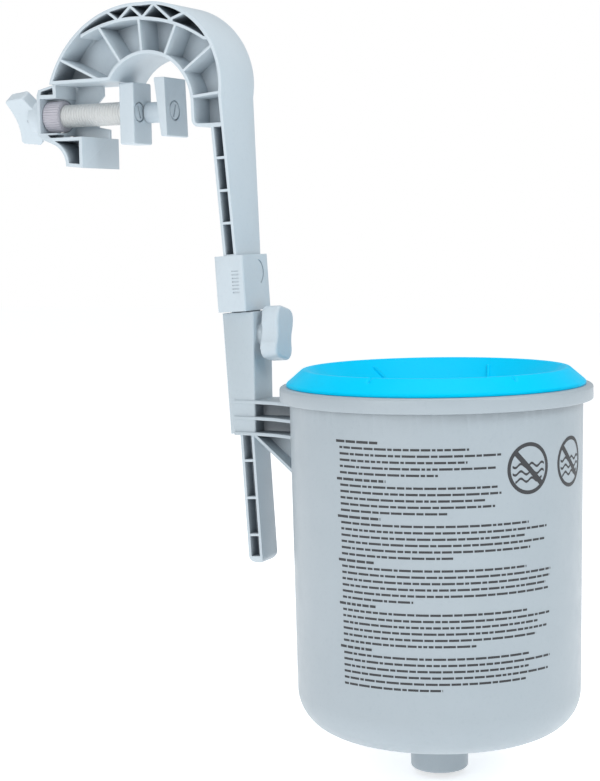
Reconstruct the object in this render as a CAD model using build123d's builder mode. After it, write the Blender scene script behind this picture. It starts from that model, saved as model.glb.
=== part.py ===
from build123d import *
import math
import os

os.makedirs("parts", exist_ok=True)

# Wall-mounted surface skimmer for an above-ground pool. Millimetres.
# The origin is the middle of the wall seat, the flat end of the hook that lies on the pool wall.
# +X runs from the wall over the water to the bucket, +Z is up along the bucket's axis.

# ---------------------------------------------------------------- driving dimensions
# bucket
bucket_x = 166.0            # wall seat to the bucket's axis
rim_z = -195.0              # lower edge of the rim band
rim_r = 102.0
rim_height = 9.5
rim_skin = 2.2
mouth_r = 95.5              # outside of the body just under the rim
foot_r = 93.4               # outside of the body where the bottom corner starts
bucket_depth = 217.0        # rim's lower edge to the underside
corner_r = 27.0
bucket_wall = 2.5
ledge_depth = 15.0          # ledge that carries the strainer basket
ledge_reach = 3.0
ledge_thick = 2.0

# outlet for the hose
outlet_r = 19.0
outlet_bore_r = 16.0
outlet_length = 29.0
outlet_neck_r = 17.0
outlet_nut_r = 25.0
outlet_nut_thick = 4.0
gasket_thick = 1.0

# leaning column: upper arm, collar and lower bar share one centre line
lean = 3.25                 # degrees, top away from the bucket
foot_x = 36.6
foot_z = -312.0
bar_thick = 10.5
bar_width = 22.5
bar_top = 194.0             # distances up the column from the bar's foot
collar_bottom = 174.0
collar_top = 212.0
collar_thick = 22.0
collar_shift = -1.0          # the collar is thicker on the side towards the wall
collar_width = 37.0
tongue_bottom = 196.0
arm_thick = 10.0
arm_width_low = 35.0
arm_width_high = 44.0
rib_thick = 1.7
flange_thick = 2.0
web_thick = 2.0
bar_rib_first = 20.2
bar_rib_pitch = 25.7
arm_rib_pitch = 22.0
arm_ribs = 4
slide_gap = 0.25            # between the bar and its sleeve

# hook
ring_x = -34.3              # centre of the round opening over the wall
ring_z = 3.5
ring_r = 34.3
hook_width = 48.0
hook_wall = 2.2
shoulder_z = -13.3          # underside of the wall seat's foot
seat_corner_r = 5.0
rib_angles = [5.5 + 29.7 * i for i in range(6)]

# clamp
screw_r = 8.1
screw_gap = 0.3
nut_r = 11.2
box_left = -132.0           # outside of the nut box
box_right = -118.0
box_half = 13.0
leg_face = -87.5            # face of the leg that looks at the pads
back_plate_y = 12.5
back_plate_thick = 2.2
pad_back = -63.2
pad_thick = 11.4
pad_width = 24.0
pad_bottom = -22.3
pad_top = 20.3
clip_r = 6.0
clip_gap = 1.1              # groove round each plug's head
clip_y = -4.2
spacer_clip_y = -2.0
stem_y = 7.0
stem_r = 2.6

# sleeve and bracket on the bucket
sleeve_bottom = 90.6
sleeve_top = 173.2
sleeve_back = 11.0          # column centre line to the outer face
sleeve_face_x = 39.4        # upright face towards the bucket
sleeve_width = 27.0
plate_drops = [4.9, 15.9, 26.6]
plate_thick = 2.2

# lock
lock_s = 157.4
lock_height = 36.0
lock_width = 24.0
lock_depth = 12.8
lock_turn = -14.0           # the knob as it stands, about the stud
stud_r = 4.0

# floating cover
cover_edge_r = 97.5
ridge_r = 86.0
ridge_z = 20.5              # above the rim's lower edge
throat_r = 62.0
throat_depth = 38.0
cover_skin = 2.2
fin_first = 25.0
fin_count = 6

# strainer basket
basket_r = 82.0
basket_foot_r = 74.0
basket_depth = 150.0
basket_skin = 2.0
basket_slots = 36

# ---------------------------------------------------------------- shared frames
lean_sin = math.sin(math.radians(lean))
lean_cos = math.cos(math.radians(lean))
up_column = (-lean_sin, 0, lean_cos)
across_column = (lean_cos, 0, lean_sin)
bucket_axis = Axis((bucket_x, 0, 0), (0, 0, 1))
reach = 400.0               # longer than anything that is cut or trimmed


def column_point(across, up):
    """A point on the column's middle plane, from its centre line and its foot."""
    return (foot_x + across * lean_cos - up * lean_sin, foot_z + across * lean_sin + up * lean_cos)


def column_side():
    """Plane along the column, local x across it and local y up it, normal to -Y."""
    return Plane(origin=(foot_x, 0, foot_z), x_dir=across_column, z_dir=(0, -1, 0))


def column_section(up):
    """Plane square to the column at a height up it, local x across it and local y along +Y."""
    x, z = column_point(0, up)
    return Plane(origin=(x, 0, z), x_dir=across_column, z_dir=up_column)


def column_front(across=0.0):
    """Plane square to the column's thickness, local x along +Y and local y up it."""
    x, z = column_point(across, 0)
    return Plane(origin=(x, 0, z), x_dir=(0, 1, 0), z_dir=across_column)


def ring_point(radius, angle):
    """A point on the hook's middle plane, about the centre of its round opening."""
    turn = math.radians(angle)
    return (ring_x + radius * math.cos(turn), ring_z + radius * math.sin(turn))


def save(piece, name):
    """Writes one finished piece under its own name."""
    piece.part.label = name
    export_step(piece.part, "parts/" + name + ".step")


# ---------------------------------------------------------------- hook arm
# Outline of the hook and the upper arm, seen from the side.
arm_half = arm_thick / 2
hook_left = (-113.6, 20.9)
hook_crown = (-37.0, 72.3)
inner_left = ring_point(ring_r, 149)
arm_right_top = column_point(arm_half, 320.0)

with BuildSketch(Plane.XZ) as hook_outline:
    with BuildLine():
        ThreePointArc(arm_right_top, (8.8, 54.8), hook_crown)
        ThreePointArc(hook_crown, (-91.0, 54.2), hook_left)
        Line(hook_left, inner_left)
        ThreePointArc(inner_left, ring_point(ring_r, 73), ring_point(ring_r, 0))
        Line(ring_point(ring_r, 0), (0, shoulder_z + seat_corner_r))
        JernArc((0, shoulder_z + seat_corner_r), (0, -1), seat_corner_r, 90)
        foot_left = column_point(-arm_half, (shoulder_z - foot_z) / lean_cos)
        Line((seat_corner_r, shoulder_z), foot_left)
        Polyline(
            foot_left,
            column_point(-arm_half, tongue_bottom),
            column_point(arm_half, tongue_bottom),
            arm_right_top,
        )
    make_face()

# A flat band crosses the ring under its crown; zigzag ribs fill the crescent above it.
band_left = (-86.0, 53.6)
band_middle = (-35.9, 62.7)
band_right = (11.3, 46.5)
band_thick = 2.2


def over_band(drop):
    """Everything over the crown band, with the band's edge lowered by drop."""
    left = (band_left[0], band_left[1] - drop)
    middle = (band_middle[0], band_middle[1] - drop)
    right = (band_right[0], band_right[1] - drop)
    with BuildSketch() as zone:
        with BuildLine():
            ThreePointArc(left, middle, right)
            Polyline(right, (right[0] + 20, right[1] - 2), (60, 120), (left[0], 120), left)
        make_face()
    return zone.sketch


with BuildSketch(Plane.XZ) as ring_cells:
    add(hook_outline.sketch)
    offset(amount=-hook_wall, mode=Mode.REPLACE)
    with Locations((0, shoulder_z + hook_wall - reach / 2)):
        Rectangle(reach, reach, mode=Mode.SUBTRACT)
    add(over_band(band_thick), mode=Mode.SUBTRACT)
    for angle in rib_angles:
        with Locations(Location((*ring_point(ring_r + 40, angle), 0), angle)):
            Rectangle(90, rib_thick, mode=Mode.SUBTRACT)

zigzag = [
    (-62.5, 66.5), (-55.3, 61.2), (-45.3, 70.0), (-35.9, 62.0),
    (-26.6, 70.5), (-13.8, 59.3), (-4.5, 62.5),
]

with BuildSketch(Plane.XZ) as crown_cells:
    add(hook_outline.sketch)
    offset(amount=-hook_wall, mode=Mode.REPLACE)
    add(over_band(0), mode=Mode.INTERSECT)
    for start, end in zip(zigzag, zigzag[1:]):
        middle = ((start[0] + end[0]) / 2, (start[1] + end[1]) / 2)
        tilt = math.degrees(math.atan2(end[1] - start[1], end[0] - start[0]))
        with Locations(Location((*middle, 0), tilt)):
            Rectangle(math.dist(start, end) + 4, rib_thick, mode=Mode.SUBTRACT)

# Ladder of cells down the upper arm, from the foot of the ring to the collar.
arm_cells_top = (shoulder_z - foot_z) / lean_cos - 0.5
arm_cells = []
for i in range(arm_ribs):
    cell_low = collar_top + rib_thick / 2 + i * arm_rib_pitch
    arm_cells.append((cell_low, min(cell_low + arm_rib_pitch - rib_thick, arm_cells_top)))

# The spur under the clamp screw: an open cell with a curved back.
spur_wall = 2.4
spur_top = -16.3
with BuildSketch(Plane.XZ) as spur_outline:
    with BuildLine():
        Line((-122.5, spur_top), (-110.0, -21.5))
        ThreePointArc((-110.0, -21.5), (-103.6, -27.5), (-101.2, -36.5))
        Polyline((-101.2, -36.5), (leg_face, -38.0), (leg_face, spur_top), (-122.5, spur_top))
    make_face()

with BuildSketch(Plane.XZ) as spur_cell:
    add(spur_outline.sketch)
    offset(amount=-spur_wall, mode=Mode.REPLACE)
    with Locations((-130.0, -15.0)):
        Rectangle(40, 60, mode=Mode.SUBTRACT)

# The nut box joins the ring's left end to the spur and stands out past both.
box_outline_points = [
    (box_left, 14.5),
    (-130.5, 18.5),
    (-117.2, 21.6),
    (-115.5, 21.6),
    (-115.5, -17.5),
    (-124.0, -17.5),
    (box_left, -14.0),
]
with BuildSketch(Plane.XZ) as box_outline:
    with BuildLine():
        Polyline(*box_outline_points, close=True)
    make_face()

# Its window shows the nut; over and under the window is a small cell.
window_half = 12.2
box_wall = 2.5
with BuildSketch(Plane.XZ) as box_window:
    with Locations(((box_left + box_right) / 2, 0)):
        Rectangle(box_right - box_left - 2 * box_wall, 2 * window_half)
seat_wall_left = box_right - box_wall
seat_wall_right = -116.2
mouth_right = -103.5
with BuildSketch(Plane.XZ) as box_mouth:
    with Locations(((seat_wall_right + mouth_right) / 2, 0)):
        Rectangle(mouth_right - seat_wall_right, 2 * window_half)
with BuildSketch(Plane.XZ) as seat_opening:
    with Locations(((seat_wall_left + seat_wall_right) / 2, 0)):
        Rectangle(seat_wall_right - seat_wall_left + 0.2, 2 * window_half)
with BuildSketch(Plane.XZ) as box_cells:
    with BuildLine():
        Polyline((-129.0, 15.0), (-128.2, 17.4), (-118.4, 19.7), (-118.0, 14.8), close=True)
    make_face()
    with BuildLine():
        Polyline((-123.5, -13.6), (-114.4, -13.6), (-114.4, -16.0), (-120.5, -16.0), close=True)
    make_face()
cell_depth = 9.0

with BuildPart() as hook_arm:
    with BuildSketch(Plane.XZ):
        add(hook_outline.sketch)
    extrude(amount=hook_width / 2, both=True)
    # The arm narrows from the ring down to the collar.
    with BuildSketch(Plane.YZ):
        with BuildLine():
            Polyline(
                (-arm_width_low / 2, foot_z + tongue_bottom - 5),
                (arm_width_low / 2, foot_z + tongue_bottom - 5),
                (arm_width_low / 2, foot_z + collar_top),
                (arm_width_high / 2, shoulder_z),
                (hook_width / 2, 25),
                (hook_width / 2, 120),
                (-hook_width / 2, 120),
                (-hook_width / 2, 25),
                (-arm_width_high / 2, shoulder_z),
                (-arm_width_low / 2, foot_z + collar_top),
                close=True,
            )
        make_face()
    extrude(amount=reach, both=True, mode=Mode.INTERSECT)
    with BuildSketch(Plane.XZ):
        add(spur_outline.sketch)
    extrude(amount=hook_width / 2, both=True)
    # Cells open to both sides of a middle web.
    for side in (1, -1):
        with BuildSketch(Plane.XZ.offset(side * web_thick / 2)):
            add(ring_cells.sketch)
        extrude(amount=side * hook_width, mode=Mode.SUBTRACT)
        with BuildSketch(Plane.XZ.offset(side * web_thick / 2)):
            add(crown_cells.sketch)
        extrude(amount=side * hook_width, mode=Mode.SUBTRACT)
        with BuildSketch(column_side().offset(side * web_thick / 2)):
            for cell_low, cell_high in arm_cells:
                with Locations((0, (cell_low + cell_high) / 2)):
                    Rectangle(arm_thick - 2 * flange_thick, cell_high - cell_low)
        extrude(amount=side * hook_width, mode=Mode.SUBTRACT)
        with BuildSketch(Plane.XZ.offset(side * web_thick / 2)):
            add(spur_cell.sketch)
        extrude(amount=side * hook_width, mode=Mode.SUBTRACT)
    # Nut box, with the window that shows the nut and a small cell over and under it.
    with BuildSketch(Plane.XZ):
        add(box_outline.sketch)
    extrude(amount=box_half, both=True)
    with BuildSketch(Plane.XZ):
        add(box_window.sketch)
    extrude(amount=reach, both=True, mode=Mode.SUBTRACT)
    with BuildSketch(Plane.XZ):
        add(box_mouth.sketch)
    extrude(amount=reach, both=True, mode=Mode.SUBTRACT)
    # On the side away from the plate the nut's seat is open, up to the middle plane.
    with BuildSketch(Plane.XZ):
        add(seat_opening.sketch)
    extrude(amount=reach, mode=Mode.SUBTRACT)
    for side in (1, -1):
        with BuildSketch(Plane.XZ.offset(side * (box_half - cell_depth))):
            add(box_cells.sketch)
        extrude(amount=side * reach, mode=Mode.SUBTRACT)
    # Plate behind the screw, which ties the ring to the spur.
    with BuildSketch(Plane.XZ.offset(-back_plate_y)):
        with BuildLine():
            Polyline(
                (-119.0, 20.6),
                (-112.0, 21.6),
                (-92.0, 22.6),
                (-92.0, 14.0),
                (-97.0, 9.0),
                (-97.0, -8.0),
                (leg_face, -10.0),
                (leg_face, -17.3),
                (-119.0, -17.3),
                close=True,
            )
        make_face()
    extrude(amount=-back_plate_thick)
    # Seat for the screw through both walls of the nut box.
    with BuildSketch(Plane.YZ.offset(box_left - 5)):
        Circle(screw_r + screw_gap)
    extrude(amount=30, mode=Mode.SUBTRACT)
    with BuildSketch(Plane.YZ.offset(seat_wall_left - 0.5)):
        Circle(nut_r + 0.3)
    extrude(amount=seat_wall_right - seat_wall_left + 1, mode=Mode.SUBTRACT)
save(hook_arm, "hook_arm")

# ---------------------------------------------------------------- collar and lower bar
collar_middle = (collar_bottom + collar_top) / 2
with BuildPart() as arm_collar:
    with BuildSketch(column_section(collar_bottom)):
        with Locations((collar_shift, 0)):
            RectangleRounded(collar_thick, collar_width, 1.6)
    extrude(amount=collar_top - collar_bottom)
    with BuildSketch(column_section(tongue_bottom)):
        Rectangle(arm_thick + 0.1, arm_width_low + 0.1)
    extrude(amount=collar_top - tongue_bottom, mode=Mode.SUBTRACT)
    with BuildSketch(column_section(collar_bottom)):
        Rectangle(bar_thick + 0.1, bar_width + 0.1)
    extrude(amount=bar_top - collar_bottom, mode=Mode.SUBTRACT)
    # Curved groove on the face towards the bucket, and plain grip lines on both sides.
    with BuildSketch(column_front(collar_thick / 2 + collar_shift - 0.8)):
        with BuildLine():
            ThreePointArc((6.0, collar_middle - 1.0), (11.2, collar_middle + 7.5), (4.6, collar_middle + 15.6))
            Line((4.6, collar_middle + 15.6), (3.8, collar_middle + 14.4))
            ThreePointArc((3.8, collar_middle + 14.4), (9.8, collar_middle + 7.3), (5.2, collar_middle + 0.2))
            Line((5.2, collar_middle + 0.2), (6.0, collar_middle - 1.0))
        make_face()
    extrude(amount=2, mode=Mode.SUBTRACT)
    for side in (1, -1):
        with BuildSketch(column_side().offset(side * (collar_width / 2 - 0.5))):
            for i in range(7):
                with Locations((3.4, collar_middle - 6 + 2.4 * i)):
                    Rectangle(5.0, 0.8)
        extrude(amount=side * 2, mode=Mode.SUBTRACT)
    # Hole for the snap button on the side that faces the wall.
    with BuildSketch(column_front(collar_shift - collar_thick / 2 - 1)):
        with Locations((0, collar_bottom + 9)):
            Circle(3.3)
    extrude(amount=8, mode=Mode.SUBTRACT)
save(arm_collar, "arm_collar")

with BuildPart() as collar_button:
    with BuildSketch(column_front(collar_shift - collar_thick / 2 - 0.6)):
        with Locations((0, collar_bottom + 9)):
            Circle(3.2)
    extrude(amount=collar_thick / 2 + 0.6 - collar_shift - bar_thick / 2)
    fillet(collar_button.faces().sort_by(Axis.X)[0].edges(), 0.5)
save(collar_button, "collar_button")

with BuildPart() as lower_bar:
    with BuildSketch(column_side()):
        with Locations((0, bar_top / 2)):
            RectangleRounded(bar_thick, bar_top, 5.2)
        with Locations((0, bar_top - 5)):
            Rectangle(bar_thick, 10)
    extrude(amount=bar_width / 2, both=True)
    with BuildSketch(column_front(-reach / 2)):
        with Locations((0, bar_top / 2)):
            RectangleRounded(bar_width, bar_top, 6)
        with Locations((0, bar_top - 5)):
            Rectangle(bar_width, 10)
    extrude(amount=reach, mode=Mode.INTERSECT)
    bar_cell_low = [5.4] + [bar_rib_first + rib_thick / 2 + bar_rib_pitch * i for i in range(6)]
    for side in (1, -1):
        with BuildSketch(column_side().offset(side * web_thick / 2)):
            for i, low in enumerate(bar_cell_low):
                high = bar_rib_first + bar_rib_pitch * i - rib_thick / 2
                with Locations((0, (low + high) / 2)):
                    Rectangle(bar_thick - 2 * flange_thick, high - low)
        extrude(amount=side * bar_width, mode=Mode.SUBTRACT)
save(lower_bar, "lower_bar")

# ---------------------------------------------------------------- clamp
nut_left = box_left + 2.6
nut_right = box_right + 2.2
rib_count = 30
with BuildPart() as clamp_nut:
    with BuildSketch(Plane.YZ.offset(nut_left)):
        Circle(nut_r)
        with PolarLocations(nut_r, rib_count):
            Circle(0.45, mode=Mode.SUBTRACT)
        Circle(screw_r + 0.05, mode=Mode.SUBTRACT)
    extrude(amount=nut_right - nut_left)
save(clamp_nut, "clamp_nut")

screw_left = -150.0
shank_left = -136.5         # the thread starts inside the knob's hub
shank_r = 3.4
journal_r = 5.0
pin_r = 1.5
pin_x = -145.0
wing_turn = 35.0            # the knob as it stands, about the screw
wing_plane = Plane.XZ.rotated((wing_turn, 0, 0))
with BuildPart() as clamp_screw:
    with BuildSketch(Plane.YZ.offset(screw_left)):
        Circle(shank_r)
    extrude(amount=shank_left - screw_left)
    with BuildSketch(Plane.YZ.offset(shank_left)):
        Circle(screw_r)
    extrude(amount=pad_back - 0.3 - shank_left)
    with BuildSketch(Plane.YZ.offset(pad_back - 0.3)):
        Circle(journal_r)
    extrude(amount=7.0)
    with BuildSketch(wing_plane.offset(-reach / 2)):
        with Locations((pin_x, 0)):
            Circle(pin_r)
    extrude(amount=reach, mode=Mode.SUBTRACT)
save(clamp_screw, "clamp_screw")

# Wing knob: a round hub against the nut box and a waisted wing, turned about the screw.
knob_face = box_left - 1.0
hub_length = 9.0
wing_half = 20.0
wing_left = -160.0
with BuildPart() as clamp_knob:
    with BuildSketch(Plane.YZ.offset(knob_face - hub_length)):
        Circle(11.0)
    extrude(amount=hub_length)
    with BuildSketch(wing_plane):
        with BuildLine():
            Polyline(
                (wing_left, wing_half - 2.0),
                (-143.0, wing_half),
                (knob_face - 4, 9.0),
                (knob_face - 4, -9.0),
                (-143.0, -wing_half),
                (wing_left, -wing_half + 2.0),
            )
            ThreePointArc((wing_left, -wing_half + 2.0), (wing_left + 4.0, 0), (wing_left, wing_half - 2.0))
        make_face()
        fillet(vertices().filter_by(lambda v: v.X < -140.0), 2.5)
    extrude(amount=5.0, both=True)
    with BuildSketch(Plane.YZ.offset(shank_left)):
        Circle(screw_r + 0.05)
    extrude(amount=10, mode=Mode.SUBTRACT)
    with BuildSketch(Plane.YZ.offset(screw_left - 0.2)):
        Circle(shank_r + 0.05)
    extrude(amount=20, mode=Mode.SUBTRACT)
    with BuildSketch(wing_plane.offset(-reach / 2)):
        with Locations((pin_x, 0)):
            Circle(pin_r)
    extrude(amount=reach, mode=Mode.SUBTRACT)
save(clamp_knob, "clamp_knob")

with BuildPart() as knob_pin:
    with BuildSketch(wing_plane.offset(-4.6)):
        with Locations((pin_x, 0)):
            Circle(pin_r)
    extrude(amount=9.2)
save(knob_pin, "knob_pin")

# Pads: one on the end of the screw and a wedge spacer plugged into it by a stem.
pad_face = pad_back + pad_thick
pad_height = pad_top - pad_bottom
with BuildPart() as clamp_pad:
    with BuildSketch(Plane.YZ.offset(pad_back)):
        with Locations((0, (pad_top + pad_bottom) / 2)):
            RectangleRounded(pad_width, pad_height, 1.5)
    extrude(amount=pad_thick)
    fillet(clamp_pad.faces().sort_by(Axis.X)[-1].edges(), 1.0)
    with BuildSketch(Plane.YZ.offset(pad_back - 1)):
        Circle(journal_r + 0.05)
    extrude(amount=8.0, mode=Mode.SUBTRACT)
    with BuildSketch(Plane.YZ.offset(pad_face - 1.8)):
        with Locations((clip_y, 0)):
            Circle(clip_r + clip_gap)
    extrude(amount=3, mode=Mode.SUBTRACT)
    with BuildSketch(Plane.YZ.offset(pad_face - 3.4)):
        with Locations((stem_y, 0)):
            Circle(stem_r + 0.05)
    extrude(amount=5, mode=Mode.SUBTRACT)
save(clamp_pad, "clamp_pad")

spacer_left_top = -33.8
spacer_right_top = -25.3
spacer_left_low = -28.8
spacer_right_low = -23.9
spacer_top = 22.3
spacer_bottom = -18.0
spacer_width = 29.0
boss_r = 7.3
boss_gap = 0.6              # between the boss and the clamp pad


def spacer_x(left, height):
    """The spacer's left or right face at a height, on its middle plane."""
    top, low = (spacer_left_top, spacer_left_low) if left else (spacer_right_top, spacer_right_low)
    share = (height - spacer_bottom) / (spacer_top - spacer_bottom)
    return low + (top - low) * share


with BuildPart() as spacer_pad:
    with BuildSketch(Plane.XZ):
        with BuildLine():
            Polyline(
                (spacer_left_low, spacer_bottom),
                (spacer_right_low, spacer_bottom),
                (spacer_right_top, spacer_top),
                (spacer_left_top, spacer_top),
                close=True,
            )
        make_face()
    extrude(amount=spacer_width / 2, both=True)
    fillet(spacer_pad.edges().filter_by(Axis.Y), 1.0)
    boss_left = pad_face + boss_gap
    boss_length = spacer_x(True, 0) - boss_left
    with BuildSketch(Plane.YZ.offset(boss_left)):
        with Locations((stem_y, 0)):
            Circle(boss_r)
    extrude(amount=boss_length + 1.5)
    with BuildSketch(Plane.YZ.offset(boss_left - 1)):
        with Locations((stem_y, 0)):
            Circle(stem_r + 0.05)
    extrude(amount=9, mode=Mode.SUBTRACT)
    with BuildSketch(Plane.YZ.offset(spacer_x(False, 0) - 1.8)):
        with Locations((spacer_clip_y, 0)):
            Circle(clip_r + clip_gap)
    extrude(amount=5, mode=Mode.SUBTRACT)
save(spacer_pad, "spacer_pad")

with BuildPart() as spacer_stem:
    with BuildSketch(Plane.YZ.offset(pad_face - 3.3)):
        with Locations((stem_y, 0)):
            Circle(stem_r)
    extrude(amount=boss_left + 7.5 - (pad_face - 3.3))
save(spacer_stem, "spacer_stem")

# Slotted heads of the snap plugs in both pads.
for name, face, y, slope in (
    ("pad_plug", pad_face - 1.8, clip_y, 20.0),
    ("spacer_plug", spacer_x(False, 0) - 1.8, spacer_clip_y, -20.0),
):
    with BuildPart() as plug:
        with BuildSketch(Plane.YZ.offset(face)):
            with Locations((y, 0)):
                Circle(clip_r)
        extrude(amount=1.5)
        with BuildSketch(Plane.YZ.offset(face + 0.6)):
            with Locations(Location((y, 0, 0), 90.0 + slope)):
                Rectangle(9.0, 1.8)
        extrude(amount=2, mode=Mode.SUBTRACT)
    save(plug, name)

# ---------------------------------------------------------------- bracket and sleeve
def bucket_outside(z):
    """Outer radius of the bucket's tapered body at a height in the part's frame."""
    share = (rim_z - z) / (bucket_depth - corner_r)
    return mouth_r + (foot_r - mouth_r) * share


lock_x = column_point(0, lock_s)[0]
face_at_lock = (sleeve_face_x - lock_x) / lean_cos
boss_end = face_at_lock + 3.6
shoe_back = bar_thick / 2 + 2.4
insert_r = 6.0

with BuildPart() as bucket_bracket:
    with BuildSketch(Plane.XZ):
        with BuildLine():
            top_left = column_point(-sleeve_back, sleeve_top)
            low_left = column_point(-sleeve_back, sleeve_bottom)
            rise = math.tan(math.radians(lean))
            Polyline(
                low_left,
                top_left,
                (sleeve_face_x, top_left[1] + (sleeve_face_x - top_left[0]) * rise),
                (sleeve_face_x, low_left[1] + (sleeve_face_x - low_left[0]) * rise),
                close=True,
            )
        make_face()
    extrude(amount=sleeve_width / 2, both=True)
    fillet(bucket_bracket.edges().filter_by(Axis.Z), 1.2)
    # Three level plates run from the sleeve to the bucket and widen on the way.
    for drop in plate_drops:
        with BuildSketch(Plane.XY.offset(rim_z - drop - plate_thick / 2)):
            with BuildLine():
                Polyline(
                    (23.5, -14.6),
                    (40.0, -14.6),
                    (56.0, -17.5),
                    (72.0, -25.0),
                    (84.0, -25.0),
                    (84.0, 25.0),
                    (72.0, 25.0),
                    (56.0, 17.5),
                    (40.0, 14.6),
                    (23.5, 14.6),
                    close=True,
                )
            make_face()
        extrude(amount=plate_thick)
    # Upright web and the slanted gusset plate under it.
    gusset_top = (36.0, rim_z - plate_drops[-1])
    gusset_low = (73.0, -252.5)
    with BuildSketch(Plane.XZ):
        with BuildLine():
            Polyline((36.0, rim_z - plate_drops[0]), (84.0, rim_z - plate_drops[0]), (84.0, -256.0),
                     gusset_low, gusset_top, (36.0, rim_z - plate_drops[0]))
        make_face()
    extrude(amount=1.25, both=True)
    with BuildSketch(Plane.XZ):
        with BuildLine():
            Polyline(
                gusset_top,
                (gusset_top[0] + 3.0, gusset_top[1]),
                (gusset_low[0] + 11.0, gusset_low[1] - 6.4),
                (gusset_low[0] + 11.0, gusset_low[1] - 9.4),
                close=True,
            )
        make_face()
    extrude(amount=13.5, both=True)
    # The plates end on the bucket's tapered wall.
    with BuildSketch(Plane.XZ):
        with BuildLine():
            Polyline(
                (bucket_x, rim_z + 5),
                (bucket_x - bucket_outside(rim_z + 5), rim_z + 5),
                (bucket_x - bucket_outside(rim_z - 100), rim_z - 100),
                (bucket_x, rim_z - 100),
                close=True,
            )
        make_face()
    revolve(axis=bucket_axis, mode=Mode.SUBTRACT)
    # Boss for the lock's threaded insert.
    with BuildSketch(column_front(shoe_back + 0.3)):
        with Locations((0, lock_s)):
            Circle(8.5)
    extrude(amount=boss_end - shoe_back - 0.3)
    # Channel for the bar, pocket for the shoe and seat for the insert.
    with BuildSketch(column_section(sleeve_bottom - 10)):
        Rectangle(bar_thick + 2 * slide_gap, bar_width + 2 * slide_gap)
    extrude(amount=sleeve_top - sleeve_bottom + 20, mode=Mode.SUBTRACT)
    with BuildSketch(column_front(0)):
        with Locations((0, lock_s)):
            Rectangle(14.6, 16.6)
    extrude(amount=shoe_back + 1.4, mode=Mode.SUBTRACT)
    with BuildSketch(column_front(shoe_back + 1.4)):
        with Locations((0, lock_s)):
            Circle(insert_r)
    extrude(amount=reach, mode=Mode.SUBTRACT)
save(bucket_bracket, "bucket_bracket")

with BuildPart() as lock_insert:
    with BuildSketch(column_front(shoe_back + 1.4)):
        with Locations((0, lock_s)):
            Circle(insert_r)
            Circle(stud_r + 0.05, mode=Mode.SUBTRACT)
    extrude(amount=boss_end - shoe_back - 1.4)
save(lock_insert, "lock_insert")

with BuildPart() as pressure_shoe:
    with BuildSketch(column_front(bar_thick / 2 + 0.15)):
        with Locations((0, lock_s)):
            RectangleRounded(14.0, 16.0, 1.0)
    extrude(amount=shoe_back - bar_thick / 2 - 0.15)
save(pressure_shoe, "pressure_shoe")

knob_start = boss_end + 1.0
with BuildPart() as lock_stud:
    with BuildSketch(column_front(shoe_back + 0.05)):
        with Locations((0, lock_s)):
            Circle(stud_r)
    extrude(amount=knob_start + 7.0 - shoe_back - 0.05)
save(lock_stud, "lock_stud")

with BuildPart() as lock_knob:
    with BuildSketch(column_front(knob_start)):
        with Locations(Location((0, lock_s, 0), lock_turn)):
            RectangleRounded(lock_width, lock_height, 7.0)
        for side in (1, -1):
            waist = Location((side * (lock_width / 2 + 19.7), -1.5, 0))
            with Locations(Location((0, lock_s, 0), lock_turn) * waist):
                Circle(21.0, mode=Mode.SUBTRACT)
    extrude(amount=lock_depth)
    fillet(lock_knob.faces().sort_by(Axis.X)[-1].edges(), 2.0)
    with BuildSketch(column_front(knob_start - 1)):
        with Locations((0, lock_s)):
            Circle(stud_r)
    extrude(amount=8.0, mode=Mode.SUBTRACT)
save(lock_knob, "lock_knob")

# ---------------------------------------------------------------- bucket
floor_top = rim_z - bucket_depth + bucket_wall
with BuildPart() as bucket:
    with BuildSketch(Plane.XZ):
        with BuildLine():
            Polyline(
                (bucket_x - outlet_neck_r - 0.1, floor_top),
                (bucket_x - outlet_neck_r - 0.1, rim_z - bucket_depth),
                (bucket_x - foot_r + corner_r, rim_z - bucket_depth),
            )
            RadiusArc(
                (bucket_x - foot_r + corner_r, rim_z - bucket_depth),
                (bucket_x - foot_r, rim_z - bucket_depth + corner_r),
                corner_r,
            )
            Polyline(
                (bucket_x - foot_r, rim_z - bucket_depth + corner_r),
                (bucket_x - mouth_r, rim_z),
                (bucket_x - mouth_r, rim_z + rim_height - rim_skin),
                (bucket_x - rim_r + rim_skin, rim_z + rim_height - rim_skin),
                (bucket_x - rim_r + rim_skin, rim_z),
                (bucket_x - rim_r, rim_z),
                (bucket_x - rim_r, rim_z + rim_height - 1.2),
                (bucket_x - rim_r + 1.2, rim_z + rim_height),
                (bucket_x - mouth_r + bucket_wall, rim_z + rim_height),
                (bucket_x - mouth_r + bucket_wall, rim_z - ledge_depth + ledge_thick),
                (bucket_x - mouth_r + bucket_wall + ledge_reach, rim_z - ledge_depth + ledge_thick),
                (bucket_x - mouth_r + bucket_wall + ledge_reach, rim_z - ledge_depth),
                (bucket_x - mouth_r + bucket_wall + 0.2, rim_z - ledge_depth - 3.0),
                (bucket_x - foot_r + bucket_wall, rim_z - bucket_depth + corner_r),
            )
            RadiusArc(
                (bucket_x - foot_r + bucket_wall, rim_z - bucket_depth + corner_r),
                (bucket_x - foot_r + corner_r, floor_top),
                -(corner_r - bucket_wall),
            )
            Line((bucket_x - foot_r + corner_r, floor_top), (bucket_x - outlet_neck_r - 0.1, floor_top))
        make_face()
    revolve(axis=bucket_axis)
save(bucket, "bucket")

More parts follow.
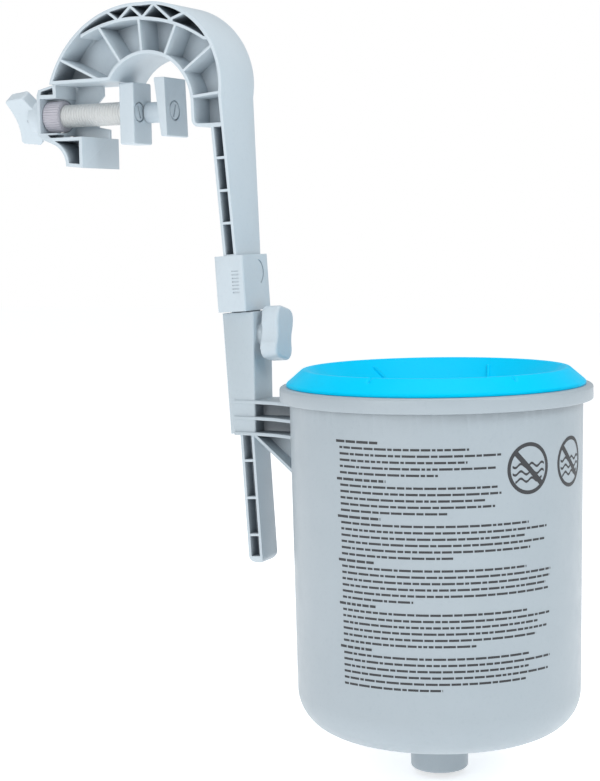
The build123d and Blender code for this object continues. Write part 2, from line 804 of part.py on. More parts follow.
# ---------------------------------------------------------------- hose outlet
shoulder_top = rim_z - bucket_depth
nut_seat = floor_top + gasket_thick
with BuildPart() as hose_outlet:
    with BuildSketch(Plane.XY.offset(shoulder_top - outlet_length)):
        with Locations((bucket_x, 0)):
            Circle(outlet_r)
    extrude(amount=outlet_length)
    fillet(hose_outlet.faces().sort_by(Axis.Z)[0].edges(), 2.2)
    with BuildSketch(Plane.XY.offset(shoulder_top)):
        with Locations((bucket_x, 0)):
            Circle(outlet_neck_r)
    extrude(amount=nut_seat + outlet_nut_thick - shoulder_top)
    with BuildSketch(Plane.XY.offset(shoulder_top - outlet_length - 1)):
        with Locations((bucket_x, 0)):
            Circle(outlet_bore_r)
    extrude(amount=reach, mode=Mode.SUBTRACT)
save(hose_outlet, "hose_outlet")

with BuildPart() as outlet_gasket:
    with BuildSketch(Plane.XY.offset(floor_top)):
        with Locations((bucket_x, 0)):
            Circle(outlet_nut_r - 1)
            Circle(outlet_neck_r, mode=Mode.SUBTRACT)
    extrude(amount=gasket_thick)
save(outlet_gasket, "outlet_gasket")

with BuildPart() as outlet_nut:
    with BuildSketch(Plane.XY.offset(nut_seat)):
        with Locations((bucket_x, 0)):
            RegularPolygon(outlet_nut_r, 8)
            Circle(outlet_neck_r, mode=Mode.SUBTRACT)
    extrude(amount=outlet_nut_thick)
save(outlet_nut, "outlet_nut")

# ---------------------------------------------------------------- floating cover
def cover_point(radius, height):
    """A point of the cover's section, from the bucket's axis and the rim's lower edge."""
    return (bucket_x - radius, rim_z + height)


with BuildPart() as floating_cover:
    with BuildSketch(Plane.XZ):
        with BuildLine():
            Polyline(
                cover_point(cover_edge_r, rim_height),
                cover_point(cover_edge_r, rim_height + 2.0),
                cover_point(ridge_r + 1.0, ridge_z),
                cover_point(ridge_r - 1.5, ridge_z),
                cover_point(throat_r + 2.0, 2.0),
                cover_point(throat_r, -3.0),
                cover_point(throat_r, -throat_depth),
                cover_point(throat_r + cover_skin, -throat_depth),
                cover_point(throat_r + cover_skin, -4.0),
                cover_point(throat_r + 4.0, 0.2),
                cover_point(ridge_r - 1.0, ridge_z - 3.2),
                cover_point(ridge_r + 0.8, ridge_z - 3.2),
                cover_point(90.2, rim_height + 4.0),
                cover_point(90.2, -8.0),
                cover_point(91.9, -8.0),
                cover_point(91.9, rim_height),
                close=True,
            )
        make_face()
    revolve(axis=bucket_axis)
    # Fins stand on the funnel inside the ridge.
    for i in range(fin_count):
        angle = fin_first + 360.0 / fin_count * i
        fin_plane = Plane(
            origin=(bucket_x, 0, rim_z),
            x_dir=(math.cos(math.radians(angle)), math.sin(math.radians(angle)), 0),
            z_dir=(math.sin(math.radians(angle)), -math.cos(math.radians(angle)), 0),
        )
        with BuildSketch(fin_plane):
            with BuildLine():
                Polyline(
                    (ridge_r - 1.8, ridge_z - 1.0),
                    (throat_r + 2.5, 1.8),
                    (throat_r + 1.0, -2.0),
                    (throat_r - 1.5, -2.0),
                    (throat_r - 0.5, 5.0),
                    (ridge_r - 4.0, ridge_z - 0.6),
                    close=True,
                )
            make_face()
        extrude(amount=1.0, both=True)
save(floating_cover, "floating_cover")

with BuildPart() as float_ring:
    with BuildSketch(Plane.XZ):
        with BuildLine():
            Polyline(
                cover_point(throat_r + cover_skin + 0.3, -7.5),
                cover_point(throat_r + cover_skin + 0.3, -4.6),
                cover_point(throat_r + 5.0, -0.4),
                cover_point(ridge_r - 3.0, 13.4),
                cover_point(89.8, 10.0),
                cover_point(89.8, -7.5),
                close=True,
            )
        make_face()
    revolve(axis=bucket_axis)
save(float_ring, "float_ring")

# ---------------------------------------------------------------- strainer basket
ledge_top = -ledge_depth + ledge_thick
with BuildPart() as strainer_basket:
    with BuildSketch(Plane.XZ):
        with BuildLine():
            Polyline(
                cover_point(92.0, ledge_top),
                cover_point(92.0, ledge_top + basket_skin),
                cover_point(basket_r - basket_skin, ledge_top + basket_skin),
                cover_point(basket_foot_r - basket_skin, -basket_depth + basket_skin),
                cover_point(0, -basket_depth + basket_skin),
                cover_point(0, -basket_depth),
                cover_point(basket_foot_r, -basket_depth),
                cover_point(basket_r, ledge_top),
                close=True,
            )
        make_face()
    revolve(axis=bucket_axis)
    # Rows of upright slots round the wall and rings of slots in the floor.
    for row in range(3):
        slot_middle = rim_z - 38.0 - 40.0 * row
        with Locations((bucket_x, 0, slot_middle)):
            with PolarLocations(basket_foot_r + 4.0, basket_slots):
                Box(14.0, 5.0, 32.0, mode=Mode.SUBTRACT)
    for radius, count in ((25.0, 12), (48.0, 24)):
        with Locations((bucket_x, 0, rim_z - basket_depth)):
            with PolarLocations(radius, count):
                Box(16.0, 4.0, 8.0, mode=Mode.SUBTRACT)
save(strainer_basket, "strainer_basket")
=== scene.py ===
import math
import random

import bmesh
import bpy
from mathutils import Matrix, Vector


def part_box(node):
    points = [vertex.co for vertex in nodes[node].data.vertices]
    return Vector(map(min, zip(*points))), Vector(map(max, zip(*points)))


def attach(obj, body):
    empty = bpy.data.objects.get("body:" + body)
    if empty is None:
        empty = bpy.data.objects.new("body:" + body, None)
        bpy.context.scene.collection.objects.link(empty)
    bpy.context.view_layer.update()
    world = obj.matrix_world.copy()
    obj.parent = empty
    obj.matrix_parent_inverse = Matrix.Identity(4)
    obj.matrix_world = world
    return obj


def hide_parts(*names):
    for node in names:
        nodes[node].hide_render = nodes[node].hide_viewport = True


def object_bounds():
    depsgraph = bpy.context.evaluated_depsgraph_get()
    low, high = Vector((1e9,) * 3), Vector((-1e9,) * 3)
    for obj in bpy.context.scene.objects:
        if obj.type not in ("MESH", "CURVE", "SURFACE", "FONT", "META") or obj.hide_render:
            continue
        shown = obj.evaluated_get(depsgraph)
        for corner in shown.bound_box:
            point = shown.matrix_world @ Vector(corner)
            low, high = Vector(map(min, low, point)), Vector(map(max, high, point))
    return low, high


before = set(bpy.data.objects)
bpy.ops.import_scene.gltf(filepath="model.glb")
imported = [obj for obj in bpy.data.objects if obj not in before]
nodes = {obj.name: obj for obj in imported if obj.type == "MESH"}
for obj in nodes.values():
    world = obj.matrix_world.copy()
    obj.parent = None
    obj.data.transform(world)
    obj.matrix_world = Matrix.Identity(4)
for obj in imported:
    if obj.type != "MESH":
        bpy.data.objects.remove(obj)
mm = 0.001
cad_low, cad_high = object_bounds()

# ---------------------------------------------------------------- places taken from the CAD parts in model.glb
bucket_low, bucket_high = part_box("bucket")
cover_low, cover_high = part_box("floating_cover")
screw_low, screw_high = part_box("clamp_screw")
nut_low, nut_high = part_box("clamp_nut")
axis_x = (bucket_low.x + bucket_high.x) / 2
rim_height = 9.5 * mm
rim_z = bucket_high.z - rim_height


# ---------------------------------------------------------------- materials
cloud_scale = 18.0
flow_scale = 90.0
spot_scale = 420.0
fleck_tint = (0.93, 0.94, 0.95, 1)
bump_distance = 0.3 * mm
# Reach and occlusion range of the painted shade in deep cells and corners.
painted_shade_reach = 16 * mm
painted_shade_from = 0.12
painted_shade_to = 0.62


def mixed(tree, kind, colour_a, colour_b, factor):
    """A colour mix node between two fixed colours, driven by a factor output."""
    mix = tree.nodes.new("ShaderNodeMix")
    mix.data_type = "RGBA"
    mix.blend_type = kind
    mix.inputs["A"].default_value = (*colour_a, 1)
    mix.inputs["B"].default_value = (*colour_b, 1)
    tree.links.new(factor, mix.inputs["Factor"])
    return mix.outputs["Result"]


def noise(tree, coords, scale, detail=4.0, rough=0.55):
    """A noise texture on object coordinates. The scale is in cells per metre."""
    node = tree.nodes.new("ShaderNodeTexNoise")
    node.inputs["Scale"].default_value = scale
    node.inputs["Detail"].default_value = detail
    node.inputs["Roughness"].default_value = rough
    tree.links.new(coords, node.inputs["Vector"])
    return node.outputs["Fac"]


def ranged(tree, value, low, high, out_low, out_high):
    """Maps a value's range to another one."""
    node = tree.nodes.new("ShaderNodeMapRange")
    node.inputs["From Min"].default_value = low
    node.inputs["From Max"].default_value = high
    node.inputs["To Min"].default_value = out_low
    node.inputs["To Max"].default_value = out_high
    tree.links.new(value, node.inputs["Value"])
    return node.outputs["Result"]


def painted_recess_shade(tree, colour, dark):
    """Painted shade: darkens the piece's own deep cells and corners, where light hardly reaches."""
    hidden = tree.nodes.new("ShaderNodeAmbientOcclusion")
    hidden.samples = 12
    hidden.only_local = True
    hidden.inputs["Distance"].default_value = painted_shade_reach
    mix = tree.nodes.new("ShaderNodeMix")
    mix.data_type = "RGBA"
    mix.blend_type = "MULTIPLY"
    mix.inputs["B"].default_value = (*dark, 1)
    tree.links.new(ranged(tree, hidden.outputs["AO"], painted_shade_from, painted_shade_to, 1, 0), mix.inputs["Factor"])
    tree.links.new(colour, mix.inputs["A"])
    return mix.outputs["Result"]


def moulded(name, light, shade, rough, grain=700.0, bump=0.04, gloss=0.5, metal=0.0, glow=0.0, painted_shade=None):
    """Moulded plastic, rubber, foam or metal: cloudy colour, uneven gloss and a fine surface grain, with
    painted shade in deep cells and corners when asked for.
    """
    material = bpy.data.materials.new(name)
    material.use_nodes = True
    tree = material.node_tree
    shader = tree.nodes["Principled BSDF"]
    coords = tree.nodes.new("ShaderNodeTexCoord").outputs["Object"]
    cloud = noise(tree, coords, cloud_scale)
    flow = noise(tree, coords, flow_scale, 6.0)
    spots = noise(tree, coords, spot_scale, 2.0)
    base = mixed(tree, "MIX", shade, light, ranged(tree, cloud, 0.3, 0.65, 0, 1))
    fleck = tree.nodes.new("ShaderNodeMix")
    fleck.data_type = "RGBA"
    fleck.blend_type = "MULTIPLY"
    fleck.inputs["B"].default_value = fleck_tint
    tree.links.new(ranged(tree, spots, 0.55, 0.75, 0, 0.6), fleck.inputs["Factor"])
    tree.links.new(base, fleck.inputs["A"])
    colour = fleck.outputs["Result"]
    # Painted shade: deep cells and corners darkened in the base colour.
    if painted_shade:
        colour = painted_recess_shade(tree, colour, painted_shade)
    tree.links.new(colour, shader.inputs["Base Color"])
    tree.links.new(ranged(tree, flow, 0.3, 0.7, rough - 0.05, rough + 0.06), shader.inputs["Roughness"])
    bumps = tree.nodes.new("ShaderNodeBump")
    bumps.inputs["Strength"].default_value = bump
    bumps.inputs["Distance"].default_value = bump_distance
    tree.links.new(noise(tree, coords, grain, 3.0), bumps.inputs["Height"])
    tree.links.new(bumps.outputs["Normal"], shader.inputs["Normal"])
    shader.inputs["Metallic"].default_value = metal
    shader.inputs["Specular IOR Level"].default_value = gloss
    shader.inputs["Emission Color"].default_value = (1, 1, 1, 1)
    shader.inputs["Emission Strength"].default_value = glow
    return material


# Colours of the painted shade in the deep cells and corners.
arm_painted_shade = (0.20, 0.22, 0.25)
bucket_painted_shade = (0.20, 0.21, 0.24)
arm_grey = moulded("arm_grey_plastic", (0.54, 0.61, 0.66), (0.52, 0.59, 0.64), 0.42, painted_shade=arm_painted_shade)
bucket_grey = moulded(
    "bucket_grey_plastic", (0.38, 0.435, 0.475), (0.365, 0.42, 0.46), 0.38, painted_shade=bucket_painted_shade
)
bracket_grey = moulded(
    "bracket_grey_plastic", (0.46, 0.53, 0.575), (0.445, 0.51, 0.555), 0.4, painted_shade=bucket_painted_shade
)
cover_blue = moulded("cover_blue_plastic", (0.0, 0.58, 0.90), (0.0, 0.56, 0.88), 0.34, gloss=0.04)
screw_white = moulded("screw_white_nylon", (0.66, 0.67, 0.66), (0.60, 0.61, 0.61), 0.45)
nut_mauve = moulded("nut_mauve_nylon", (0.50, 0.49, 0.54), (0.45, 0.44, 0.49), 0.5)
basket_pale = moulded("basket_pale_plastic", (0.60, 0.64, 0.67), (0.55, 0.60, 0.63), 0.4)
foam_white = moulded("float_foam", (0.82, 0.83, 0.84), (0.74, 0.75, 0.77), 0.85, 1600.0, 0.5, 0.2)
rubber_black = moulded("rubber_black", (0.03, 0.03, 0.032), (0.02, 0.02, 0.022), 0.65, 900.0, 0.2, 0.3)
pin_steel = moulded("pin_steel", (0.62, 0.63, 0.65), (0.52, 0.53, 0.55), 0.32, metal=1.0)
insert_brass = moulded("insert_brass", (0.70, 0.52, 0.25), (0.60, 0.44, 0.20), 0.33, metal=1.0)
print_ink = moulded("print_ink", (0.035, 0.037, 0.042), (0.028, 0.03, 0.034), 0.5)


# ---------------------------------------------------------------- helpers for meshes
same_place = 0.002 * mm
flat_angle = math.radians(0.6)
bevel_over = math.radians(38)


def shade(obj, angle=32.0):
    """Smooth shading, with edges sharper than the angle left crisp."""
    mesh = obj.data
    limit = math.radians(angle)
    work = bmesh.new()
    work.from_mesh(mesh)
    for face in work.faces:
        face.smooth = True
    for edge in work.edges:
        edge.smooth = len(edge.link_faces) == 2 and edge.calc_face_angle(0.0) < limit
    work.to_mesh(mesh)
    work.free()


def new_piece(name, vertices, faces, material, sharp=32.0):
    """A mesh object from plain vertices and faces, with its material."""
    mesh = bpy.data.meshes.new(name)
    mesh.from_pydata([tuple(v) for v in vertices], [], faces)
    mesh.update()
    work = bmesh.new()
    work.from_mesh(mesh)
    bmesh.ops.recalc_face_normals(work, faces=work.faces)
    work.to_mesh(mesh)
    work.free()
    mesh.materials.append(material)
    obj = bpy.data.objects.new(name, mesh)
    bpy.context.scene.collection.objects.link(obj)
    shade(obj, sharp)
    return obj


def apply_modifiers(obj):
    """Turns the object's modifiers into plain geometry."""
    graph = bpy.context.evaluated_depsgraph_get()
    mesh = bpy.data.meshes.new_from_object(obj.evaluated_get(graph))
    obj.modifiers.clear()
    obj.data = mesh


def copied(node, name, material):
    """A free copy of a CAD node's mesh, with doubled vertices and flat splits cleaned away."""
    mesh = nodes[node].data.copy()
    mesh.name = name
    mesh.materials.clear()
    work = bmesh.new()
    work.from_mesh(mesh)
    bmesh.ops.remove_doubles(work, verts=work.verts, dist=same_place)
    bmesh.ops.dissolve_limit(work, angle_limit=flat_angle, verts=work.verts, edges=work.edges)
    for face in work.faces:
        face.material_index = 0
    work.to_mesh(mesh)
    work.free()
    mesh.materials.append(material)
    obj = bpy.data.objects.new(name, mesh)
    bpy.context.scene.collection.objects.link(obj)
    return obj


def softened(node, name, material, width, segments=2, body=None, slot=None):
    """A CAD node's shape with its sharp edges rounded over, as moulded plastic has them."""
    obj = copied(node, name, material)
    bevel = obj.modifiers.new("round_edges", "BEVEL")
    bevel.width = width
    bevel.segments = segments
    bevel.limit_method = "ANGLE"
    bevel.angle_limit = bevel_over
    bevel.use_clamp_overlap = True
    bevel.loop_slide = True
    apply_modifiers(obj)
    shade(obj, 40.0)
    return placed(obj, body, slot, node)


def melted(node, name, material, voxel, rounds, body, slot):
    """A CAD node's shape with all its edges and joins flowing into each other, as a hand knob has them."""
    obj = copied(node, name, material)
    remesh = obj.modifiers.new("even_mesh", "REMESH")
    remesh.mode = "VOXEL"
    remesh.voxel_size = voxel
    smooth = obj.modifiers.new("flow", "SMOOTH")
    smooth.factor = 0.5
    smooth.iterations = rounds
    apply_modifiers(obj)
    shade(obj, 60.0)
    return placed(obj, body, slot, node)


def placed(obj, body, slot, *replaced):
    """Parents the piece to the body it rides on and hides the CAD nodes it stands for. The slot, what it
    takes its finish from, is not used.
    """
    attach(obj, body)
    if replaced:
        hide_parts(*replaced)
    return obj


def turned(name, material, stations, sides, radius_at, place, sharp=32.0, closed=False):
    """A round surface: radius_at(station, angle) gives (radius, along), and place turns that into a point."""
    vertices = []
    for station in stations:
        for side in range(sides):
            angle = 2 * math.pi * side / sides
            radius, along = radius_at(station, angle)
            vertices.append(place(radius, along, angle))
    faces = []
    rows = len(stations)
    last = rows if closed else rows - 1
    for row in range(last):
        here = row * sides
        above = (row + 1) % rows * sides
        for side in range(sides):
            turn = (side + 1) % sides
            faces.append((here + side, here + turn, above + turn, above + side))
    if not closed:
        faces.append(tuple(range(sides)))
        faces.append(tuple((rows - 1) * sides + side for side in range(sides)))
    return new_piece(name, vertices, faces, material, sharp)


def about_screw(radius, along, angle):
    """A point about the clamp screw's axis, which runs along X through the origin's height."""
    return (along, radius * math.cos(angle), radius * math.sin(angle))


def about_bucket(radius, along, angle):
    """A point about the bucket's axis, with its height over the rim's lower edge."""
    return (axis_x + radius * math.cos(angle), radius * math.sin(angle), rim_z + along)


# ---------------------------------------------------------------- clamp screw with its thread
def clamp_thread():
    """The screw's thread, a true helix with rounded crests, between two plain ends."""
    pitch = 2.2 * mm
    crest = (screw_high.z - screw_low.z) / 2
    depth = 0.85 * mm
    shank, shank_length = 3.4 * mm, 13.5 * mm
    journal, journal_length = 5.0 * mm, 7.0 * mm
    thread_start = screw_low.x + shank_length
    thread_end = screw_high.x - journal_length
    thread_length = thread_end - thread_start
    rows_per_pitch = 10
    steps = round(thread_length / pitch * rows_per_pitch)
    stations = [("plain", screw_low.x, shank), ("plain", thread_start, shank)]
    stations += [("thread", thread_start + thread_length * i / steps, crest) for i in range(steps + 1)]
    stations += [("plain", thread_end, journal), ("plain", screw_high.x, journal)]

    def radius_at(station, angle):
        kind, along, radius = station
        if kind == "thread":
            phase = along / pitch - angle / (2 * math.pi)
            wave = 0.5 + 0.5 * math.cos(2 * math.pi * phase)
            radius -= depth * wave ** 1.4
        return radius, along

    obj = turned("screw_thread", screw_white, stations, 72, radius_at, about_screw, 85.0)
    return placed(obj, "screw", "screw_plastic", "clamp_screw")


# ---------------------------------------------------------------- ribbed nut
def clamp_nut_barrel():
    """The captive nut: a barrel with ribs all round, chamfered ends and the screw's bore."""
    outer = (nut_high.z - nut_low.z) / 2
    bore = 8.15 * mm
    left, right = nut_low.x, nut_high.x
    ribs = 34
    rib_depth = 0.75 * mm
    chamfer = 0.9 * mm
    outline = [
        (bore, left, 0),
        (outer - 1.6 * mm, left, 0),
        (outer - chamfer, left + 0.2 * mm, 0),
        (outer, left + chamfer, 1),
        (outer, right - chamfer, 1),
        (outer - chamfer, right - 0.2 * mm, 0),
        (outer - 1.6 * mm, right, 0),
        (bore, right, 0),
    ]

    def radius_at(station, angle):
        radius, along, ribbed = station
        wave = 0.5 + 0.5 * math.cos(ribs * angle)
        return radius - ribbed * rib_depth * (1 - wave ** 0.6), along

    obj = turned("nut_barrel", nut_mauve, outline, ribs * 12, radius_at, about_screw, 50.0, closed=True)
    return placed(obj, "hook", "nut_plastic", "clamp_nut")


# ---------------------------------------------------------------- floating cover
stepped_from = 80.0 * mm
fin_count = 6
fin_first = 25.0


def smooth_profile(points, radii, steps=5, stretch=1.0 * mm):
    """A closed outline with rounded corners, and with short steps where the notches cut it."""
    rounded = []
    count = len(points)
    for i, (corner, radius) in enumerate(zip(points, radii)):
        here = Vector(corner)
        before = Vector(points[i - 1]) - here
        after = Vector(points[(i + 1) % count]) - here
        cut = min(radius, before.length * 0.45, after.length * 0.45)
        start = here + before.normalized() * cut
        end = here + after.normalized() * cut
        for step in range(steps + 1):
            t = step / steps
            rounded.append(start * (1 - t) ** 2 + here * 2 * t * (1 - t) + end * t ** 2)
    outline = []
    for i, here in enumerate(rounded):
        onward = rounded[(i + 1) % len(rounded)] - here
        notched = here.x > stepped_from and here.y > rim_height
        parts = max(1, math.ceil(onward.length / stretch)) if notched else 1
        outline.extend(here + onward * part / parts for part in range(parts))
    return outline


def floating_funnel():
    """The blue cover: outer slope, rounded ridge notched at each fin, funnel, throat and skirt."""
    edge = (cover_high.x - cover_low.x) / 2
    top = cover_high.z - rim_z
    ridge = 86.0 * mm
    throat = 62.0 * mm
    deep = cover_low.z - rim_z
    skirt = 91.9 * mm
    skin = 2.2 * mm
    points = [
        (edge, rim_height + 0.1 * mm),
        (edge, rim_height + 2.0 * mm),
        (ridge + 1.0 * mm, top),
        (ridge - 1.5 * mm, top),
        (throat + 2.0 * mm, 2.0 * mm),
        (throat, -3.0 * mm),
        (throat, deep),
        (throat + skin, deep),
        (throat + skin, -4.0 * mm),
        (throat + 4.0 * mm, 0.2 * mm),
        (ridge - 1.0 * mm, top - 3.2 * mm),
        (ridge + 0.8 * mm, top - 3.2 * mm),
        (skirt - 1.7 * mm, rim_height + 4.0 * mm),
        (skirt - 1.7 * mm, -8.0 * mm),
        (skirt, -8.0 * mm),
        (skirt, rim_height + 0.1 * mm),
    ]
    radii = [r * mm for r in (0.5, 1.6, 2.4, 2.0, 6.0, 3.0, 0.8, 0.8, 2.0, 3.0, 1.0, 1.0, 0.8, 0.5, 0.5, 0.3)]
    outline = smooth_profile(points, radii)
    notch_half = math.radians(0.8)
    notch_depth = 1.4 * mm
    notch_middle = ridge + 2.2 * mm
    notch_reach = 2.6 * mm

    def radius_at(station, angle):
        radius, along = station
        turn = (math.degrees(angle) - fin_first) % (360 / fin_count)
        turn = min(turn, 360 / fin_count - turn)
        reach = max(0.0, 1 - math.radians(turn) / notch_half)
        near_ridge = max(0.0, 1 - abs(radius - notch_middle) / notch_reach) * (along > top - 3.0 * mm)
        return radius, along - notch_depth * min(1.0, 1.6 * reach) * min(1.0, 1.5 * near_ridge)

    obj = turned("cover_funnel", cover_blue, outline, 720, radius_at, about_bucket, 42.0, closed=True)
    placed(obj, "cover", "blue_plastic", "floating_cover")
    # Fins stand out of the funnel under the ridge.
    for i in range(fin_count):
        angle = math.radians(fin_first + 360 / fin_count * i)
        fin = cover_fin(f"cover_fin_{i + 1}", angle, ridge, throat, top)
        placed(fin, "cover", "blue_plastic", "floating_cover")


def cover_fin(name, angle, ridge, throat, top):
    """One rounded rib that runs up the funnel's slope a little askew, tapering out at both ends."""
    half = 1.5 * mm
    steps = 24
    rows = 9
    sweep = math.radians(6.0)
    low = Vector((throat + 2.2 * mm, 2.4 * mm))
    high = Vector((ridge - 5.5 * mm, top - 4.0 * mm))
    along = high - low
    out = Vector((-along.y, along.x)).normalized()
    vertices = []
    for step in range(steps + 1):
        t = step / steps
        spine = low + along * t
        height = 2.3 * mm * min(1.0, 6 * t + 0.15, 8 * (1 - t) + 0.15)
        for row in range(rows):
            turn = math.pi * row / (rows - 1)
            across = half * math.cos(turn)
            lift = height * math.sin(turn) ** 0.7 - 0.8 * mm
            point = spine + out * lift
            turned_by = angle - sweep * (1 - t)
            x = point.x * math.cos(turned_by) - across * math.sin(turned_by)
            y = point.x * math.sin(turned_by) + across * math.cos(turned_by)
            vertices.append((axis_x + x, y, rim_z + point.y))
    faces = []
    for step in range(steps):
        for row in range(rows):
            turn = (row + 1) % rows
            here = step * rows
            faces.append((here + row, here + turn, here + rows + turn, here + rows + row))
    faces.append(tuple(range(rows)))
    faces.append(tuple(steps * rows + row for row in range(rows)))
    return new_piece(name, vertices, faces, cover_blue, 50.0)


# ---------------------------------------------------------------- plain printed marks on the bucket
mouth_r = 95.5 * mm
foot_r = 93.4 * mm
taper_height = 190.0 * mm
ink_height = 0.06 * mm


def on_wall(angle, drop):
    """A point just off the bucket's wall, at an angle in degrees and a drop under the rim's lower edge."""
    radius = mouth_r + (foot_r - mouth_r) * drop / taper_height + ink_height
    turn = math.radians(angle)
    return (axis_x + radius * math.cos(turn), radius * math.sin(turn), rim_z - drop)


def add_patch(vertices, faces, outline_at, steps):
    """A strip over the wall: outline_at(t) gives its two edge points as (angle, drop)."""
    first = len(vertices)
    for step in range(steps + 1):
        for angle, drop in outline_at(step / steps):
            vertices.append(on_wall(angle, drop))
    for step in range(steps):
        a = first + 2 * step
        faces.append((a, a + 1, a + 3, a + 2))


def printed_rows():
    """Rows of short dark dashes in six blocks, in place of printed matter."""
    draw = random.Random(5)
    vertices, faces = [], []
    degrees_per_m = 180 / math.pi / mouth_r
    left, right, short_right = -108.0, -20.0, -43.0
    top, pitch, dash = 17.5 * mm, 3.9 * mm, 1.4 * mm
    blocks = [6, 6, 7, 7, 7, 7]
    row = 0
    for rows in blocks:
        for line in range(rows):
            drop = top + row * pitch
            heading = line == 0
            end = left + draw.uniform(12, 22) if heading else (short_right if row < 11 else right)
            if not heading:
                end -= draw.uniform(0, 14) if line % 2 else draw.uniform(0, 4)
            if line == rows - 1:
                end = left + draw.uniform(30, 60)
            angle = left if heading else left + 1.6
            while angle < end:
                wide = draw.uniform(2.2, 8.5) * mm * degrees_per_m
                stop = min(angle + wide, end)
                base = drop + dash * (1.15 if heading else 1.0)

                def stroke(t):
                    across = angle + (stop - angle) * t
                    return ((across, drop), (across, base))

                add_patch(vertices, faces, stroke, 3)
                angle = stop + 0.85 * mm * degrees_per_m
            row += 1
    obj = new_piece("print_rows", vertices, faces, print_ink, 60.0)
    placed(obj, "skimmer", "bucket_plastic")


def roundel(name, middle, drop_middle):
    """A plain ring with a diagonal bar over three waves."""
    vertices, faces = [], []
    outer, inner = 16.0 * mm, 13.6 * mm
    degrees_per_m = 180 / math.pi / mouth_r

    def at(x, z):
        return (middle + x * degrees_per_m, drop_middle - z)

    def ring(t):
        turn = 2 * math.pi * t
        x, z = math.cos(turn), math.sin(turn)
        return (at(outer * x, outer * z), at(inner * x, inner * z))

    add_patch(vertices, faces, ring, 96)
    slash = 1.2 * mm
    reach = inner * 0.7071 + 0.6 * mm

    def bar(t):
        x = reach * (2 * t - 1)
        return (at(x - slash, -x - slash), at(x + slash, -x + slash))

    add_patch(vertices, faces, bar, 24)
    for level in (-7.0, -2.5, 2.0):
        half_wide = math.sqrt((inner * 0.92) ** 2 - (level * mm) ** 2)

        def wave(t):
            x = half_wide * (2 * t - 1)
            z = level * mm + 1.1 * mm * math.sin(x / mm * 0.75)
            return (at(x, z + 0.75 * mm), at(x, z - 0.75 * mm))

        add_patch(vertices, faces, wave, 48)
    obj = new_piece(name, vertices, faces, print_ink, 60.0)
    placed(obj, "skimmer", "bucket_plastic")


# ---------------------------------------------------------------- the pieces
clamp_thread()
clamp_nut_barrel()
floating_funnel()
printed_rows()
roundel("print_roundel_1", -31.5, 36.0 * mm)
roundel("print_roundel_2", -6.5, 36.0 * mm)
melted("clamp_knob", "clamp_wing", arm_grey, 0.45 * mm, 14, "screw", "grey_plastic")
melted("lock_knob", "lock_wing", arm_grey, 0.45 * mm, 16, "lock", "grey_plastic")
softened("hook_arm", "hook_moulding", arm_grey, 0.45 * mm, 2, "hook", "grey_plastic")
softened("arm_collar", "collar_sleeve", arm_grey, 0.8 * mm, 3, "hook", "grey_plastic")
softened("lower_bar", "ladder_bar", arm_grey, 0.35 * mm, 2, "hook", "grey_plastic")
softened("clamp_pad", "clamp_pad_block", arm_grey, 1.6 * mm, 4, "pads", "grey_plastic")
softened("spacer_pad", "spacer_wedge", arm_grey, 1.6 * mm, 4, "pads", "grey_plastic")
softened("pad_plug", "pad_plug_head", arm_grey, 0.25 * mm, 2, "pads", "nut_plastic")
softened("spacer_plug", "spacer_plug_head", arm_grey, 0.25 * mm, 2, "pads", "nut_plastic")
softened("bucket_bracket", "bracket_moulding", bracket_grey, 0.4 * mm, 2, "skimmer", "bucket_plastic")
softened("bucket", "bucket_shell", bucket_grey, 0.7 * mm, 3, "skimmer", "bucket_plastic")
softened("hose_outlet", "outlet_spigot", bucket_grey, 0.5 * mm, 2, "skimmer", "bucket_plastic")

carried = {
    "collar_button": arm_grey,
    "knob_pin": pin_steel,
    "spacer_stem": nut_mauve,
    "outlet_gasket": rubber_black,
    "outlet_nut": bucket_grey,
    "lock_insert": insert_brass,
    "pressure_shoe": rubber_black,
    "lock_stud": pin_steel,
    "strainer_basket": basket_pale,
    "float_ring": foam_white,
}
for node, material in carried.items():
    nodes[node].data.materials.clear()
    nodes[node].data.materials.append(material)


# ---------------------------------------------------------------- stage, light and camera
def stage_floor():
    """A wide, flat, pale floor close under the outlet."""
    size = 6.0
    floor_z = cad_low.z - 4 * mm
    corners = ((-size, -size), (size, -size), (size, size), (-size, size))
    vertices = [(x, y, floor_z) for x, y in corners]
    pale = moulded("studio_pale", (0.90, 0.905, 0.91), (0.89, 0.895, 0.90), 0.9, 40.0, 0.02, 0.2, glow=0.56)
    obj = new_piece("studio_floor", vertices, [(0, 1, 2, 3)], pale)


def soft_light(name, place, target, size, power, colour=(1, 1, 1)):
    """A large square lamp that looks at a target."""
    lamp = bpy.data.lights.new(name, "AREA")
    lamp.shape = "SQUARE"
    lamp.size = size
    lamp.energy = power
    lamp.color = colour
    obj = bpy.data.objects.new(name, lamp)
    obj.location = place
    obj.rotation_mode = "QUATERNION"
    obj.rotation_quaternion = (Vector(target) - Vector(place)).to_track_quat("-Z", "Y")
    bpy.context.scene.collection.objects.link(obj)


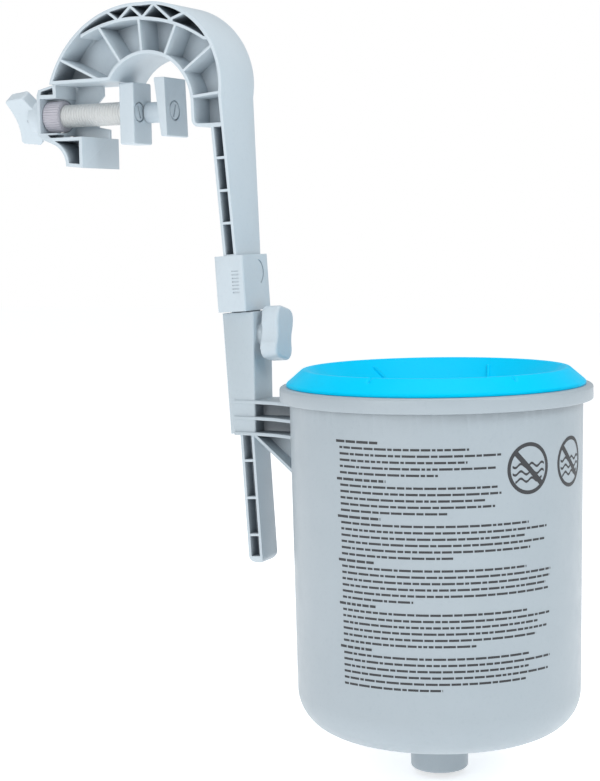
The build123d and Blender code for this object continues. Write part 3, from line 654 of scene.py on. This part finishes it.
def studio_light():
    """An even white surround, with large lamps in front, on the right and overhead."""
    world = bpy.data.worlds.new("studio_white")
    world.use_nodes = True
    tree = world.node_tree
    glow = tree.nodes["Background"]
    glow.inputs["Color"].default_value = (0.96, 0.98, 1, 1)
    glow.inputs["Strength"].default_value = 0.5
    seen = tree.nodes.new("ShaderNodeBackground")
    seen.inputs["Color"].default_value = (1, 1, 1, 1)
    seen.inputs["Strength"].default_value = 1.0
    path = tree.nodes.new("ShaderNodeLightPath")
    choice = tree.nodes.new("ShaderNodeMixShader")
    tree.links.new(path.outputs["Is Camera Ray"], choice.inputs["Fac"])
    tree.links.new(glow.outputs["Background"], choice.inputs[1])
    tree.links.new(seen.outputs["Background"], choice.inputs[2])
    tree.links.new(choice.outputs["Shader"], tree.nodes["World Output"].inputs["Surface"])
    bpy.context.scene.world = world
    middle = (cad_low + cad_high) / 2
    upper = middle + Vector((0, 0, 0.12))
    soft_light("key", middle + Vector((-0.3, -1.9, 0.6)), middle, 1.1, 12)
    soft_light("side", middle + Vector((1.5, -0.3, 1.0)), upper, 0.7, 9, (0.92, 0.98, 1.0))
    soft_light("top", middle + Vector((0.1, 0.2, 1.8)), middle, 1.2, 12)


def photo_camera():
    """A long lens at the viewing angle: turned, tipped down a little and rolled by a degree."""
    azimuth, down, roll = (math.radians(v) for v in (26.553, 5.30, 1.05))
    level_right = Vector((math.cos(azimuth), math.sin(azimuth), 0))
    level_ahead = Vector((-math.sin(azimuth), math.cos(azimuth), 0))
    forward = level_ahead * math.cos(down) + Vector((0, 0, -math.sin(down)))
    level_up = level_right.cross(forward)
    right = level_right * math.cos(roll) - level_up * math.sin(roll)
    up = level_up * math.cos(roll) + level_right * math.sin(roll)
    data = bpy.data.cameras.new("camera")
    data.lens = 80.39
    data.sensor_width = 36.0
    obj = bpy.data.objects.new("camera", data)
    turn = Matrix((right, up, -forward)).transposed().to_4x4()
    obj.matrix_world = Matrix.Translation((0.5943, -1.0551, -0.0830)) @ turn
    bpy.context.scene.collection.objects.link(obj)
    bpy.context.scene.camera = obj


stage_floor()
studio_light()
photo_camera()
bpy.context.scene.view_settings.view_transform = "Standard"
